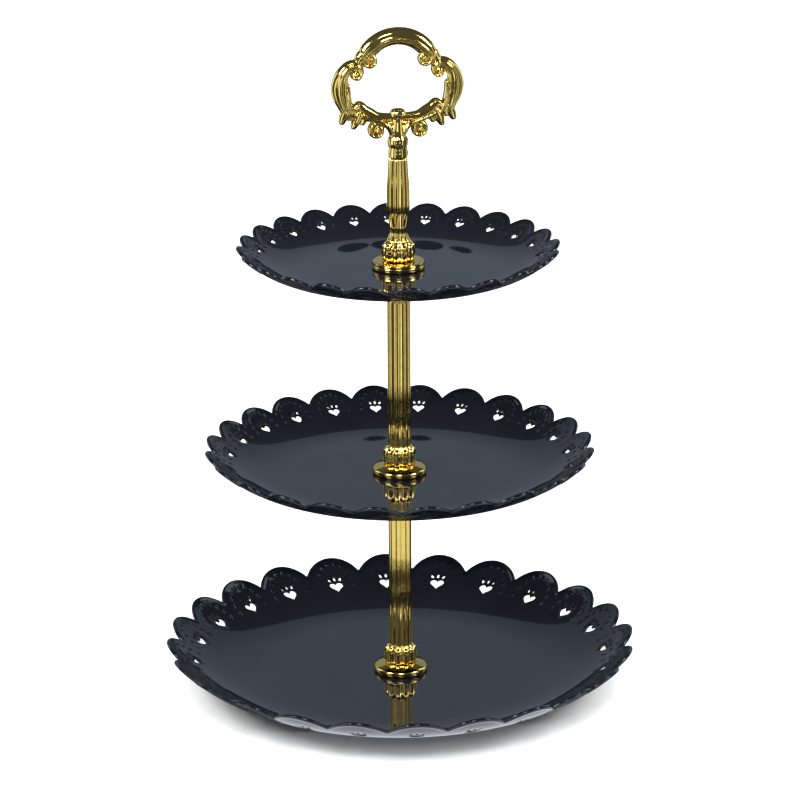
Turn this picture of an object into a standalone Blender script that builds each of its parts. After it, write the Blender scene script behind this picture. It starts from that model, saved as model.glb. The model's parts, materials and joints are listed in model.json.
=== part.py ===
"""Three-tier serving stand: scalloped plates with cut-out rims on a ribbed post that screws together.

The stand rises along +Z from the table at z = 0. Its post is the Z axis, and the ring of its
handle lies in the XZ plane. Each piece is modelled from its own plate's floor and placed there.
"""

from collections import namedtuple
from math import cos, pi, radians, sin, sqrt, tau

import bmesh
import bpy
from mathutils import Matrix, Vector

# Driving dimensions, in metres
GAP = 0.0003                    # clearance between pieces that touch
TIER_HEIGHT = 0.1178            # from one plate's floor to the next
FOOT_HEIGHT = 0.0045            # of the ring that the bottom plate stands on
FOOT_RADIUS = 0.0650
FOOT_WIDTH = 0.0030
PLATE_WALL = 0.0017
STUD_RADIUS = 0.0029            # M6 thread, drawn plain
STUD_CLEARANCE = 0.0004         # round a stud, in every hole that it passes
STUD_SEAT = 0.0120              # how deep a stud is set in the top of its rod
THREAD_LENGTH = 0.0080          # how far the next piece screws down on a stud
BORE_SPARE = 0.0010             # past a stud's end
ROD_RADIUS = 0.0065
RIB_DEPTH = 0.0011
RIB_COUNT = 10
BULB_RADIUS = 0.0093
BULB_TOP = 0.0168               # above the plate's floor
COLLAR_DROP = 0.0185            # from a plate's floor down to the collar below it
CAPITAL_RADIUS = 0.0084
FLANGE_RADIUS = 0.0151
FLANGE_HEIGHT = 0.0055
FLANGE_LIP = 0.0024
DISC_RADIUS = 0.0145            # of the plain disc under the handle
DISC_HEIGHT = 0.0045
SEAT_RIM = 0.0023               # from the side of the plain disc in to the gasket under it
GASKET_THICKNESS = 0.0006
PAD_RADIUS = 0.0080             # of the soft washer under a plate
WASHER_RADIUS = 0.0075
WASHER_THICKNESS = 0.0008
SCREW_HEAD_RADIUS = 0.0055
SCREW_HEAD_HEIGHT = 0.0026
STEM_LENGTH = 0.0616            # from the top plate's floor to the handle's neck
STEM_RADIUS = 0.00635
STEM_WAIST_RADIUS = 0.0049
PIN_RADIUS = 0.0020             # of the stud between stem and ring
PIN_SEAT = 0.0070
RING_HEIGHT = 0.0718            # from the foot of the neck to the top of the arch
ARCH_RADIUS = 0.0200            # of the middle line of the ring's upper arch
ARCH_SPAN = 68.0                # degrees either side of the top
ARCH_THICKNESS = 0.0098
LOBE_RADIUS = 0.0095
LOBE_OFFSET = 0.0224            # of a side lobe's centre from the post's axis
LOBE_HEIGHT = 0.0398            # of that centre above the foot of the neck
LOBE_SPAN = 105.0               # degrees, from straight up round to the outer side
LOBE_THICKNESS = 0.0096
KNOB_RADIUS = 0.0034
KNOB_HEIGHT = 0.0238

# How finely things are divided
HUB_POINTS = 24
FLOOR_POINTS = 48
RIM_POINTS_PER_SCALLOP = 6
POINTS_PER_RIB = 3
BORE_POINTS = RIB_COUNT * POINTS_PER_RIB // 2
TURNED_STEPS = 24
HEART_POINTS = 10

# Shapes, as shares of the sizes above
SCALLOPS = 24
SCALLOP_CURVE = 1.236           # a rim arch's radius over half its chord
WALL_CURVE = 2.75               # how late the plate's wall turns up
WALL_STATIONS = (0.0, 0.39, 0.61)
RIM_STATIONS = (0.45, 1.0)
HEART_PLACE = 0.715             # of the wall's width, to the middle of a heart
ROD_CHAMFER = 0.25
LIP_SLOPE = 0.25                # of the flange's lip, from its side in to the foot of its dome
LIP_SIDE = 0.5                  # of the lip's height, up its outer side
DISC_CHAMFER = 0.15
HEAD_CHAMFER = 0.25
CROSS_WIDTH = 0.18              # of the screw head's radius
CROSS_REACH = 1.1
CAPITAL_BAND = 0.0020           # plain band at the top of a rod
CAPITAL_DROP = 0.0065           # from the rod's top to the foot of its capital
SHOULDER_RADIUS = 0.85          # of the bulb, at its top and at its foot
SHOULDER_RIBS = 1.3             # rib depth there
BULB_RIBS = 1.5
BULB_STATIONS = (0.82, 0.58, 0.12)   # of the bulb's height: its shoulder, then its full width
STEM_TOP = 0.83
STEM_SIDE = 0.92
STEM_STATIONS = (0.78, 0.54, 0.38, 0.14)   # of the shaft's height: its side, belly and waist
BAR_TAPER = 0.75                # of a bar's thickness where it runs into a scroll

Plate = namedtuple("Plate", "name radius rise floor scallop heart turn")
BOTTOM = Plate("bottom_plate", 0.1316, 0.0228, 0.0710, 0.0077, 0.0081, radians(-6.4))
MIDDLE = Plate("middle_plate", 0.1082, 0.0183, 0.0582, 0.0063, 0.0066, radians(-2.2))
TOP = Plate("top_plate", 0.0886, 0.0150, 0.0478, 0.0052, 0.0054, radians(-6.8))
PLATES = (BOTTOM, MIDDLE, TOP)

# Worked out from the above
HOLE_RADIUS = STUD_RADIUS + STUD_CLEARANCE
GASKET_RADIUS = DISC_RADIUS - SEAT_RIM
BOTTOM_FLOOR = FOOT_HEIGHT + PLATE_WALL
FLOORS = [BOTTOM_FLOOR + tier * TIER_HEIGHT for tier in range(len(PLATES))]
GASKET_BASE = GAP
RECESS_HEIGHT = GASKET_BASE + GASKET_THICKNESS + GAP
PAD_TOP = -PLATE_WALL - GAP
ROD_FOOT = FLANGE_HEIGHT + GAP
ROD_TOP = TIER_HEIGHT + PAD_TOP - GASKET_THICKNESS - GAP
STEM_FOOT = DISC_HEIGHT + GAP
NECK_FOOT = STEM_LENGTH + GAP
FOOT_BORE = THREAD_LENGTH + BORE_SPARE
TOP_BORE = STUD_SEAT + GAP
PIN_BORE = PIN_SEAT + BORE_SPARE


def clear_scene():
    for obj in list(bpy.data.objects):
        bpy.data.objects.remove(obj, do_unlink=True)
    for collection in list(bpy.data.collections):
        bpy.data.collections.remove(collection)


def new_collection(name):
    collection = bpy.data.collections.new(name)
    bpy.context.scene.collection.children.link(collection)
    return collection


clear_scene()
STAND = new_collection("tiered_stand")
CUTTERS = new_collection("cutters")


def new_look(name, colour, roughness, metallic):
    look = bpy.data.materials.new(name)
    look.use_nodes = True
    shader = look.node_tree.nodes["Principled BSDF"]
    shader.inputs["Base Color"].default_value = (*colour, 1.0)
    shader.inputs["Roughness"].default_value = roughness
    shader.inputs["Metallic"].default_value = metallic
    return look


BLACK = (0.010, 0.011, 0.016)
GOLD = (0.95, 0.68, 0.22)


def plate_look(name):
    return new_look(name, BLACK, 0.06, 0.0)


def gold_look(name):
    return new_look(name, GOLD, 0.12, 1.0)


def steel_look(name):
    return new_look(name, (0.62, 0.62, 0.64), 0.3, 1.0)


def rubber_look(name):
    return new_look(name, (0.03, 0.03, 0.03), 0.7, 0.0)


def add_object(name, mesh, look, height=0.0):
    obj = bpy.data.objects.new(name, mesh)
    obj.location.z = height
    mesh.materials.append(look)
    STAND.objects.link(obj)
    return obj


def hide_as_cutter(obj):
    for collection in list(obj.users_collection):
        collection.objects.unlink(obj)
    CUTTERS.objects.link(obj)
    obj.hide_render = True
    obj.display_type = "WIRE"


def boolean(obj, other, operation):
    step = obj.modifiers.new(f"{operation}_{other.name}", "BOOLEAN")
    step.operation = operation
    step.solver = "EXACT"
    step.object = other


def mesh_from(bm, name):
    bmesh.ops.recalc_face_normals(bm, faces=bm.faces)
    mesh = bpy.data.meshes.new(name)
    bm.to_mesh(mesh)
    bm.free()
    mesh.shade_smooth()
    mesh.set_sharp_from_angle(angle=radians(35))
    return mesh


def bridge(bm, ring, other):
    """Skin two rings of points, one of which may have a whole multiple of the other's points."""
    coarse, fine = sorted((ring, other), key=len)
    step = len(fine) // len(coarse)
    half = (step + 1) // 2
    for i, corner in enumerate(coarse):
        following = coarse[(i + 1) % len(coarse)]
        run = [fine[(i * step + k) % len(fine)] for k in range(step + 1)]
        if step == 1:
            bm.faces.new((corner, following, run[1], run[0]))
            continue
        for k in range(step):
            bm.faces.new((corner if k < half else following, run[k], run[k + 1]))
        bm.faces.new((corner, following, run[half]))


def round_ring(bm, count, radius, height):
    angles = [tau * i / count for i in range(count)]
    return [bm.verts.new((radius * cos(a), radius * sin(a), height)) for a in angles]


def skin(bm, rings):
    for ring, following in zip(rings, rings[1:]):
        bridge(bm, ring, following)


# Plates

def wall_point(plate, radius, depth):
    """The place in the plate's wall at a radius of its upper face, and a depth below that face."""
    width = plate.radius - plate.floor
    share = max(0.0, (radius - plate.floor) / width)
    height = plate.rise * share ** WALL_CURVE
    slope = WALL_CURVE * plate.rise / width * share ** (WALL_CURVE - 1.0)
    tilt = sqrt(1.0 + slope * slope)
    return radius + depth * slope / tilt, height - depth / tilt


def scallop_radius(plate, angle):
    """The rim's radius at an angle: a row of round arches with a heart under each crown."""
    sector = tau / SCALLOPS
    offset = (angle / sector + 0.5) % 1.0 - 0.5
    half_chord = plate.radius * sector / 2.0
    arch = SCALLOP_CURVE * half_chord
    base = sqrt(arch ** 2 - half_chord ** 2)
    rise = (sqrt(arch ** 2 - (2.0 * offset * half_chord) ** 2) - base) / (arch - base)
    return plate.radius - plate.scallop * (1.0 - rise)


def rim_ring(bm, plate, share, depth):
    """A ring between the last plain station of the wall and the scalloped edge."""
    start = plate.floor + WALL_STATIONS[-1] * (plate.radius - plate.floor)
    count = SCALLOPS * RIM_POINTS_PER_SCALLOP
    ring = []
    for i in range(count):
        angle = tau * i / count
        lip = PLATE_WALL * depth_reach(plate)
        edge = scallop_radius(plate, angle) - lip
        radius, height = wall_point(plate, start + share * (edge - start), depth)
        ring.append(bm.verts.new((radius * cos(angle), radius * sin(angle), height)))
    return ring


def depth_reach(plate):
    """How far out the lower face of the rim leans past the upper one, as a share of the wall."""
    slope = WALL_CURVE * plate.rise / (plate.radius - plate.floor)
    return slope / sqrt(1.0 + slope * slope)


def wall_face(bm, plate, depth):
    """One face of the plate, as rings from the floor's edge out to the rim."""
    width = plate.radius - plate.floor
    rings = []
    for share in WALL_STATIONS:
        rings.append(round_ring(bm, FLOOR_POINTS, *wall_point(plate, plate.floor + share * width, depth)))
    for share in RIM_STATIONS:
        rings.append(rim_ring(bm, plate, share, depth))
    return rings


def foot_rings(bm):
    """The ring under the plate that stands on the table, from its outer side to its inner one."""
    outer = FOOT_RADIUS + FOOT_WIDTH / 2.0
    inner = FOOT_RADIUS - FOOT_WIDTH / 2.0
    base = -PLATE_WALL - FOOT_HEIGHT
    corners = ((outer, -PLATE_WALL), (outer, base), (inner, base), (inner, -PLATE_WALL))
    return [round_ring(bm, FLOOR_POINTS, radius, height) for radius, height in corners]


def heart_outline(width):
    """Points of a heart about its middle, its slightly blunt tip towards -Y."""
    half = width / 2.0
    points = []
    for i in range(HEART_POINTS):
        t = tau * (i + 0.5) / HEART_POINTS
        along = 13.0 * cos(t) - 5.0 * cos(2.0 * t) - 2.0 * cos(3.0 * t) - cos(4.0 * t)
        points.append((half * sin(t) ** 3, half * (along + 2.0) / 16.0))
    return points


def heart_cutter(plate):
    """All of a plate's heart-shaped cut-outs, each square to the wall."""
    radius = plate.floor + HEART_PLACE * (plate.radius - plate.floor)
    outer, outer_height = wall_point(plate, radius, -PLATE_WALL)
    inner, inner_height = wall_point(plate, radius, 2.0 * PLATE_WALL)
    normal = Vector((0.0, outer - inner, outer_height - inner_height)).normalized()
    along = Vector((0.0, normal.z, -normal.y))
    bm = bmesh.new()
    for k in range(SCALLOPS):
        turn = Matrix.Rotation(tau * k / SCALLOPS, 3, "Z")
        ends = []
        for base in (Vector((0.0, outer, outer_height)), Vector((0.0, inner, inner_height))):
            places = [base + Vector((x, 0.0, 0.0)) + along * y for x, y in heart_outline(plate.heart)]
            ends.append([bm.verts.new(turn @ place) for place in places])
        bm.faces.new(ends[0])
        bm.faces.new(ends[1])
        bridge(bm, ends[0], ends[1])
    return mesh_from(bm, f"{plate.name}_hearts")


def make_plate(plate, height, footed):
    bm = bmesh.new()
    upper = [round_ring(bm, HUB_POINTS, HOLE_RADIUS, 0.0)] + wall_face(bm, plate, 0.0)
    lower = list(reversed(wall_face(bm, plate, PLATE_WALL)))
    if footed:
        lower += foot_rings(bm)
    lower.append(round_ring(bm, HUB_POINTS, HOLE_RADIUS, -PLATE_WALL))
    skin(bm, upper + lower + upper[:1])
    obj = add_object(plate.name, mesh_from(bm, plate.name), plate_look(f"{plate.name}_black"), height)
    obj.rotation_euler.z = plate.turn
    cutter = add_object(f"{plate.name}_hearts", heart_cutter(plate), plate_look("cutter"), height)
    cutter.rotation_euler.z = plate.turn
    hide_as_cutter(cutter)
    boolean(obj, cutter, "DIFFERENCE")


# Turned pieces

def turned(name, profile, look, height, closed=False, steps=TURNED_STEPS):
    """A piece turned about the Z axis from a profile that runs down its outer side."""
    points = [(radius, 0.0, z) for radius, z in profile]
    edges = [(i, i + 1) for i in range(len(points) - 1)]
    if closed:
        edges.append((len(points) - 1, 0))
    mesh = bpy.data.meshes.new(name)
    mesh.from_pydata(points, edges, [])
    obj = add_object(name, mesh, look, height)
    screw = obj.modifiers.new("turn", "SCREW")
    screw.steps = steps
    screw.render_steps = steps
    screw.use_merge_vertices = True
    screw.merge_threshold = 0.00001
    screw.use_smooth_shade = True
    return obj


def flat_ring(name, inner, outer, base, thickness, look, height):
    top = base + thickness
    profile = ((inner, top), (outer, top), (outer, base), (inner, base))
    return turned(name, profile, look, height, closed=True)


def rod(name, radius, base, top, look, height):
    """A plain pin with chamfered ends."""
    chamfer = radius * ROD_CHAMFER
    profile = ((0.0, top), (radius - chamfer, top), (radius, top - chamfer),
               (radius, base + chamfer), (radius - chamfer, base), (0.0, base))
    return turned(name, profile, look, height, steps=HUB_POINTS // 2)


def gasket_recess(radius):
    """The underside of a flange, from its lip in to its hole."""
    side = GASKET_RADIUS + GAP
    return ((radius, GAP), (side, GAP), (side, RECESS_HEIGHT), (HOLE_RADIUS, RECESS_HEIGHT))


def domed_flange(name, height):
    shoulder = BULB_RADIUS + GAP
    slope_foot = FLANGE_RADIUS - LIP_SLOPE * FLANGE_LIP
    profile = ((HOLE_RADIUS, FLANGE_HEIGHT), (shoulder, FLANGE_HEIGHT), (slope_foot, FLANGE_LIP),
               (FLANGE_RADIUS, LIP_SIDE * FLANGE_LIP)) + gasket_recess(FLANGE_RADIUS - GAP)
    turned(name, profile, gold_look(f"{name}_gold"), height, closed=True)


def plain_disc(name, height):
    edge = DISC_CHAMFER * DISC_HEIGHT
    profile = ((HOLE_RADIUS, DISC_HEIGHT), (DISC_RADIUS - edge, DISC_HEIGHT),
               (DISC_RADIUS, DISC_HEIGHT - edge)) + gasket_recess(DISC_RADIUS)
    turned(name, profile, gold_look(f"{name}_gold"), height, closed=True)


def soft_washers(height, above, below):
    """The soft rings that grip a plate: one in the flange above it, one on the rod below it."""
    if above:
        flat_ring(above, HOLE_RADIUS, GASKET_RADIUS, GASKET_BASE, GASKET_THICKNESS,
                  rubber_look(f"{above}_rubber"), height)
    if below:
        flat_ring(below, HOLE_RADIUS, PAD_RADIUS, PAD_TOP - GASKET_THICKNESS, GASKET_THICKNESS,
                  rubber_look(f"{below}_rubber"), height)


def base_screw(height):
    """The screw under the bottom plate, with a cross in its head."""
    head_top = -PLATE_WALL - GAP - WASHER_THICKNESS - GAP
    head_base = head_top - SCREW_HEAD_HEIGHT
    edge = HEAD_CHAMFER * SCREW_HEAD_HEIGHT
    tip = ROD_FOOT + THREAD_LENGTH
    profile = ((0.0, tip), (STUD_RADIUS, tip), (STUD_RADIUS, head_top), (SCREW_HEAD_RADIUS, head_top),
               (SCREW_HEAD_RADIUS, head_base + edge), (SCREW_HEAD_RADIUS - edge, head_base),
               (0.0, head_base))
    screw = turned("base_screw", profile, steel_look("base_screw_steel"), height)
    blade = CROSS_WIDTH * SCREW_HEAD_RADIUS
    reach = CROSS_REACH * SCREW_HEAD_RADIUS
    for name, size in (("cross_x", (reach, blade)), ("cross_y", (blade, reach))):
        bm = bmesh.new()
        bmesh.ops.create_cube(bm, size=1.0, matrix=Matrix.Diagonal((*size, SCREW_HEAD_HEIGHT, 1.0)))
        cutter = add_object(name, mesh_from(bm, name), steel_look("cutter"), height + head_base)
        hide_as_cutter(cutter)
        boolean(screw, cutter, "DIFFERENCE")


# Ribbed pieces

def ribbed_ring(bm, radius, depth, height):
    """A section of convex ribs that meet in sharp grooves."""
    count = RIB_COUNT * POINTS_PER_RIB
    ring = []
    for i in range(count):
        angle = tau * i / count
        reach = radius - depth * (1.0 - abs(sin(RIB_COUNT * angle / 2.0)))
        ring.append(bm.verts.new((reach * cos(angle), reach * sin(angle), height)))
    return ring


def ribbed(name, sections, top_bore, foot_bore, height):
    """A post piece lofted from the top down, bored at both ends; a bore is (radius, depth)."""
    bm = bmesh.new()
    top, foot = sections[0][2], sections[-1][2]
    rings = [round_ring(bm, BORE_POINTS, top_bore[0], top - top_bore[1]),
             round_ring(bm, BORE_POINTS, top_bore[0], top)]
    rings += [ribbed_ring(bm, *section) for section in sections]
    rings += [round_ring(bm, BORE_POINTS, foot_bore[0], foot),
              round_ring(bm, BORE_POINTS, foot_bore[0], foot + foot_bore[1])]
    skin(bm, rings)
    bm.faces.new(rings[0])
    bm.faces.new(rings[-1])
    add_object(name, mesh_from(bm, name), gold_look(f"{name}_gold"), height)


def bulb_sections(radius_above, foot):
    """The ribbed bulb at the foot of a post piece, down to its underside."""
    shoulder = SHOULDER_RADIUS * BULB_RADIUS
    above, upper, lower = (foot + share * (BULB_TOP - foot) for share in BULB_STATIONS)
    return [(radius_above, RIB_DEPTH, BULB_TOP),
            (shoulder, SHOULDER_RIBS * RIB_DEPTH, above),
            (BULB_RADIUS, BULB_RIBS * RIB_DEPTH, upper),
            (BULB_RADIUS, BULB_RIBS * RIB_DEPTH, lower),
            (shoulder, SHOULDER_RIBS * RIB_DEPTH, foot)]


def post_rod(name, height):
    collar = TIER_HEIGHT - COLLAR_DROP
    sections = [(CAPITAL_RADIUS, 0.0, ROD_TOP),
                (CAPITAL_RADIUS, 0.0, ROD_TOP - CAPITAL_BAND),
                (ROD_RADIUS, RIB_DEPTH, ROD_TOP - CAPITAL_DROP),
                (ROD_RADIUS, RIB_DEPTH, collar)] + bulb_sections(ROD_RADIUS, ROD_FOOT)
    ribbed(name, sections, (HOLE_RADIUS, TOP_BORE), (HOLE_RADIUS, FOOT_BORE), height)


def handle_stem(height):
    """The waisted stem between the top plate and the ring."""
    shaft = STEM_LENGTH - BULB_TOP
    radii = (STEM_SIDE * STEM_RADIUS, STEM_RADIUS, STEM_RADIUS, STEM_WAIST_RADIUS)
    sections = [(STEM_TOP * STEM_RADIUS, RIB_DEPTH, STEM_LENGTH)]
    for radius, share in zip(radii, STEM_STATIONS):
        sections.append((radius, RIB_DEPTH, BULB_TOP + share * shaft))
    sections += bulb_sections(STEM_SIDE * STEM_RADIUS, STEM_FOOT)
    pin_hole = PIN_RADIUS + STUD_CLEARANCE
    ribbed("handle_stem", sections, (pin_hole, PIN_BORE), (HOLE_RADIUS, FOOT_BORE), height)


# Ring of the handle, in the XZ plane, measured from the foot of its neck

def tube(name, path, radii, height):
    """A round bar along a path in the XZ plane, as a mesh that can be joined."""
    curve = bpy.data.curves.new(name, "CURVE")
    curve.dimensions = "3D"
    curve.bevel_depth = 1.0
    curve.bevel_resolution = 2
    curve.use_fill_caps = True
    spline = curve.splines.new("POLY")
    spline.points.add(len(path) - 1)
    for point, (x, z), radius in zip(spline.points, path, radii):
        point.co = (x, 0.0, z, 1.0)
        point.radius = radius
    bar = bpy.data.objects.new(name, curve)
    bar.location.z = height
    CUTTERS.objects.link(bar)
    bpy.context.view_layer.update()
    graph = bpy.context.evaluated_depsgraph_get()
    bm = bmesh.new()
    bm.from_mesh(bpy.data.meshes.new_from_object(bar.evaluated_get(graph)))
    bmesh.ops.remove_doubles(bm, verts=bm.verts, dist=0.000001)
    joined = bpy.data.objects.new(f"{name}_bar", mesh_from(bm, name))
    joined.matrix_world = bar.matrix_world
    bpy.data.objects.remove(bar, do_unlink=True)
    CUTTERS.objects.link(joined)
    hide_as_cutter(joined)
    return joined


def ball(name, x, z, size, height, tilt=0.0):
    """An egg shape with half-sizes across, through and along, tilted in the XZ plane."""
    bm = bmesh.new()
    bmesh.ops.create_uvsphere(bm, u_segments=10, v_segments=7, radius=1.0)
    bmesh.ops.scale(bm, vec=size, verts=bm.verts)
    bmesh.ops.rotate(bm, matrix=Matrix.Rotation(tilt, 3, "Y"), verts=bm.verts)
    obj = bpy.data.objects.new(name, mesh_from(bm, name))
    obj.location = (x, 0.0, height + z)
    CUTTERS.objects.link(obj)
    hide_as_cutter(obj)
    return obj


def arc(centre, radius, start, end, count):
    """Points on an arc in the XZ plane; angles in degrees, clockwise from straight up."""
    turns = [radians(start + (end - start) * i / (count - 1)) for i in range(count)]
    return [(centre[0] + radius * sin(a), centre[1] + radius * cos(a)) for a in turns]


def side_pieces(side, height):
    """The lobe, scrolls and leaves on one side of the ring; side is 1 or -1."""
    label = "right" if side > 0 else "left"
    lobe_centre = (LOBE_OFFSET, LOBE_HEIGHT)
    lobe = [(0.0180, 0.0535)] + arc(lobe_centre, LOBE_RADIUS, 0.0, LOBE_SPAN, 7)
    lobe += [(0.0303, 0.0300), (0.0276, 0.0245)]
    bar = LOBE_THICKNESS / 2.0
    sweep = [(0.0262, 0.0255), (0.0218, 0.0287), (0.0148, 0.0250), (0.0080, 0.0224), (0.0030, 0.0200)]
    taper = BAR_TAPER * bar
    paths = (("lobe", lobe, [taper] + [bar] * 7 + [taper, taper ** 2 / bar]),
             ("sweep", sweep, [0.0026, 0.0033, 0.0033, 0.0032, 0.0030]))
    pieces = []
    for name, path, radii in paths:
        mirrored = [(side * x, z) for x, z in path]
        pieces.append(tube(f"{label}_{name}", mirrored, radii, height))
    lumps = (("arch_scroll", 0.0150, 0.0542, (0.0042, 0.0042, 0.0042), 0.0),
             ("lobe_scroll", 0.0228, 0.0467, (0.0041, 0.0041, 0.0041), 0.0),
             ("foot_scroll", 0.0115, 0.0157, (0.0053, 0.0044, 0.0053), 0.0),
             ("long_leaf", 0.0243, 0.0203, (0.0020, 0.0024, 0.0046), 8.0),
             ("short_leaf", 0.0290, 0.0222, (0.0020, 0.0024, 0.0040), -35.0))
    for name, x, z, size, tilt in lumps:
        pieces.append(ball(f"{label}_{name}", side * x, z, size, height, side * radians(tilt)))
    return pieces


def handle_ring(height):
    """The ring's neck, joined with the arch, lobes, scrolls and leaves of the ring."""
    arch_centre = (0.0, RING_HEIGHT - ARCH_THICKNESS / 2.0 - ARCH_RADIUS)
    hole = PIN_RADIUS + STUD_CLEARANCE
    profile = ((0.0, 0.0230), (0.0030, 0.0210), (0.0038, 0.0150), (0.0047, 0.0121), (0.0059, 0.0090),
               (0.0051, 0.0055), (0.0056, 0.0031), (0.0053, 0.0), (hole, 0.0), (hole, PIN_BORE),
               (0.0, PIN_BORE))
    ring = turned("handle_ring", profile, gold_look("handle_ring_gold"), height, steps=HUB_POINTS)
    bar = ARCH_THICKNESS / 2.0
    span = arc(arch_centre, ARCH_RADIUS, -ARCH_SPAN, ARCH_SPAN, 11)
    pieces = [tube("arch", span, [BAR_TAPER * bar] + [bar] * 9 + [BAR_TAPER * bar], height),
              ball("knob", 0.0, KNOB_HEIGHT, (KNOB_RADIUS,) * 3, height)]
    for side in (1, -1):
        pieces += side_pieces(side, height)
    for piece in pieces:
        boolean(ring, piece, "UNION")


def build():
    for plate, height in zip(PLATES, FLOORS):
        make_plate(plate, height, footed=plate is BOTTOM)
    bottom, middle, top = FLOORS
    base_screw(bottom)
    flat_ring("base_washer", HOLE_RADIUS, WASHER_RADIUS, -PLATE_WALL - GAP - WASHER_THICKNESS,
              WASHER_THICKNESS, steel_look("base_washer_steel"), bottom)
    soft_washers(bottom, "lower_gasket", None)
    soft_washers(middle, "middle_gasket", "middle_pad")
    soft_washers(top, "upper_gasket", "upper_pad")
    for name, height in (("lower", bottom), ("upper", middle)):
        domed_flange(f"{name}_flange", height)
        post_rod(f"{name}_rod", height)
        next_foot = TIER_HEIGHT + (ROD_FOOT if name == "lower" else STEM_FOOT)
        rod(f"{name}_stud", STUD_RADIUS, ROD_TOP - STUD_SEAT, next_foot + THREAD_LENGTH,
            steel_look(f"{name}_stud_steel"), height)
    plain_disc("handle_disc", top)
    handle_stem(top)
    rod("ring_stud", PIN_RADIUS, STEM_LENGTH - PIN_SEAT, NECK_FOOT + PIN_SEAT,
        steel_look("ring_stud_steel"), top)
    handle_ring(top + NECK_FOOT)


build()
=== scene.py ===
"""Looks of the three-tier serving stand: lace-edged plates in gloss black on a ribbed gold post.

Each CAD node keeps its place. The pieces made here stand for the CAD solids, in the same frame.
"""

import json
from math import atan2, ceil, cos, hypot, pi, radians, sin, sqrt, tau

import bmesh
import bpy
import numpy as np
from mathutils import Matrix, Vector
from mathutils.geometry import delaunay_2d_cdt


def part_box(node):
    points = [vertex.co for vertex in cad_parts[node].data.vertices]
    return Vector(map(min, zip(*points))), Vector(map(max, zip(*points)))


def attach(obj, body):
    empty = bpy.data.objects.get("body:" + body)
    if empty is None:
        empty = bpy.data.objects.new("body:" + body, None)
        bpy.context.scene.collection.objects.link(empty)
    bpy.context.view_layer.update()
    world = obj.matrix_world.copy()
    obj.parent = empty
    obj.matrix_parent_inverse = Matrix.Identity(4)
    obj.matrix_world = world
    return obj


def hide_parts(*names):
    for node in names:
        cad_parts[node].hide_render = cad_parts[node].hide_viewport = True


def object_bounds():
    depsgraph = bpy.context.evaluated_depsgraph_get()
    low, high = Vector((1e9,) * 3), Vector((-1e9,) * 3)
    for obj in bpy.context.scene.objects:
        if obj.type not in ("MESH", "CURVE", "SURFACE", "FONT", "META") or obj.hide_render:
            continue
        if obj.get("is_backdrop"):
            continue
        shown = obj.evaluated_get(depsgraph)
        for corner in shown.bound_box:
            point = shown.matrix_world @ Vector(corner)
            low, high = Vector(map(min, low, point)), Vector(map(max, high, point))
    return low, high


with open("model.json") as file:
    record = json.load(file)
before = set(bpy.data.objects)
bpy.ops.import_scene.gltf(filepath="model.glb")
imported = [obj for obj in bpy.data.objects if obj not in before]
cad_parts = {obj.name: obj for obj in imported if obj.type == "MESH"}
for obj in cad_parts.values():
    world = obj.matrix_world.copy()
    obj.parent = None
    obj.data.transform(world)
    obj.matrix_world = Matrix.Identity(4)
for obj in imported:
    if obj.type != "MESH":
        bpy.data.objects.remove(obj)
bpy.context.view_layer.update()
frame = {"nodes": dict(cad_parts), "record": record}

# Plates
SCALLOPS = 24
SECTOR = tau / SCALLOPS
FLOOR_SHARE = 0.539             # of the plate's radius
SCALLOP_SHARE = 0.0585
HEART_SHARE = 0.0610
SCALLOP_CURVE = 1.236           # a rim arch's radius over half its chord
WALL_CURVE = 2.75               # how late the wall turns up
WALL_RISE = 0.172               # of the plate's radius, close enough to find the lip's lean
HEART_PLACE = 0.715             # of the wall's width
PLATE_WALL = 0.0017
BEAD_RADIUS = 0.00115           # of the rolled edge
BEAD_BLEND = 0.0021             # how far in from its middle the edge fades into the wall
NOTCH_FILLET = 0.0005
HOLE_EDGE = 0.00028             # rounding of the edges of the cut-outs
LACE_FROM = 0.30                # share of the wall's width where the plain part ends
HUB_RADIUS = 0.0034
FOOT_OUTER = 0.0665             # the ring that the bottom plate stands on
FOOT_INNER = 0.0635
FOOT_EDGE = 0.0006
LACE_SPACING = 0.0017           # of the bottom plate's mesh
DOT_RADIUS = 0.00078
DOT_DEPTH = 0.00070
DOTS = 10                       # round each heart
DOT_STEP = radians(20.0)
DOT_SPREAD = 0.70               # of half a scallop's width
DOT_INSET = 0.0041              # from the rim's crest to the nearest dot
PETAL_SIZE = (0.0029, 0.0014)
PETAL_TILT = radians(24.0)
TURNS = {"bottom_plate": radians(-6.4), "middle_plate": radians(-2.2), "top_plate": radians(-6.8)}

# Posts
RIBS = 10
GROOVE_TURN = radians(14.5)     # of the first groove, from +X
RIB_DEPTH = 0.0011
ROD_RADIUS = 0.0065
POST_STEP = 0.00045             # between the rings of a post's mesh
POST_EDGE = 0.0004              # rounding of a post's ends
BULB_TOP = 0.0168               # above the plate's floor
PETAL_TOP = 0.0129              # of the bulb's petals, at the rods
STEM_PETAL_TOP = 0.0122
COLLAR_DROP = 0.0163            # from a rod's head down to where its ribs end
COLLAR_RADIUS = 0.00695
BORE_RADIUS = 0.0033
BORE_DEPTH = 0.009


def mount_height(name):
    return next(m["pos_m"][2] for m in frame["record"]["mounts"] if m["name"] == name)


FLOORS = {f"{tier}_plate": mount_height(f"{tier}_floor") for tier in ("bottom", "middle", "top")}


def reach(node):
    """A node's largest distance from the post's axis."""
    return max(hypot(v.co.x, v.co.y) for v in frame["nodes"][node].data.vertices)


# Camera

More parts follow.
